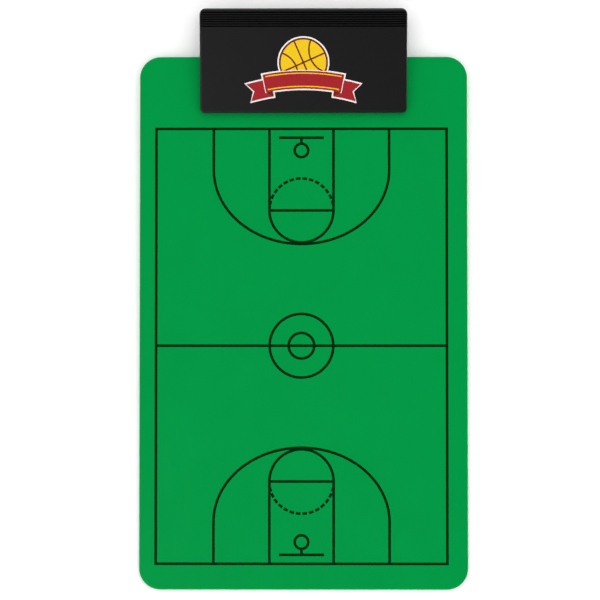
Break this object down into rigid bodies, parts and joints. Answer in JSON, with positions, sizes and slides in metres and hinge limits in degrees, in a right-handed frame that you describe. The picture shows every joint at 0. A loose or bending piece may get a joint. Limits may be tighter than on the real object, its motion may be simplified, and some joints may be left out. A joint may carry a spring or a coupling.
{
  "type": "coach clipboard",
  "caption": "Stiff green clipboard printed with a basketball court. A wide black sprung clip at its top opens when its levers are pressed together.",
  "frame": {"origin": "under the middle of the whole clipboard, in the plane of the back jaw's flat outer face, on which it lies", "axes": "+X across the board, +Y from its foot to the clip, +Z out of its printed face"},
  "size_m": [0.2424, 0.4274, 0.0231],
  "materials": {
    "board_plastic": "green polystyrene sheet, smooth with a soft sheen",
    "clip_plastic": "black moulded polystyrene, satin",
    "plated_steel": "zinc-plated steel, satin",
    "spring_wire": "drawn spring wire, lightly oiled",
    "court_ink": "black screen ink",
    "print_red": "red pad-printed ink",
    "print_maroon": "maroon pad-printed ink",
    "print_gold": "gold-yellow pad-printed ink",
    "print_white": "white pad-printed ink"
  },
  "bodies": {
    "base": {"board": "board_plastic", "back_jaw": "clip_plastic", "hinge_pin": "plated_steel", "spring_left": "spring_wire", "spring_right": "spring_wire", "rivet_outer_left": "plated_steel", "rivet_inner_left": "plated_steel", "rivet_inner_right": "plated_steel", "rivet_outer_right": "plated_steel", "washer_outer_left": "plated_steel", "washer_inner_left": "plated_steel", "washer_inner_right": "plated_steel", "washer_outer_right": "plated_steel"},
    "front_jaw": {"front_jaw": "clip_plastic"}
  },
  "joints": [
    {"name": "clip_open", "type": "hinge", "parent": "base", "child": "front_jaw", "pos_m": [0, 0.18654, 0.01], "axis": [-1, 0, 0], "range_deg": [0, 26], "stiffness_Nm_per_rad": 0.63, "springref_deg": -57.3, "deforming": ["spring_left", "spring_right"]}
  ]
}
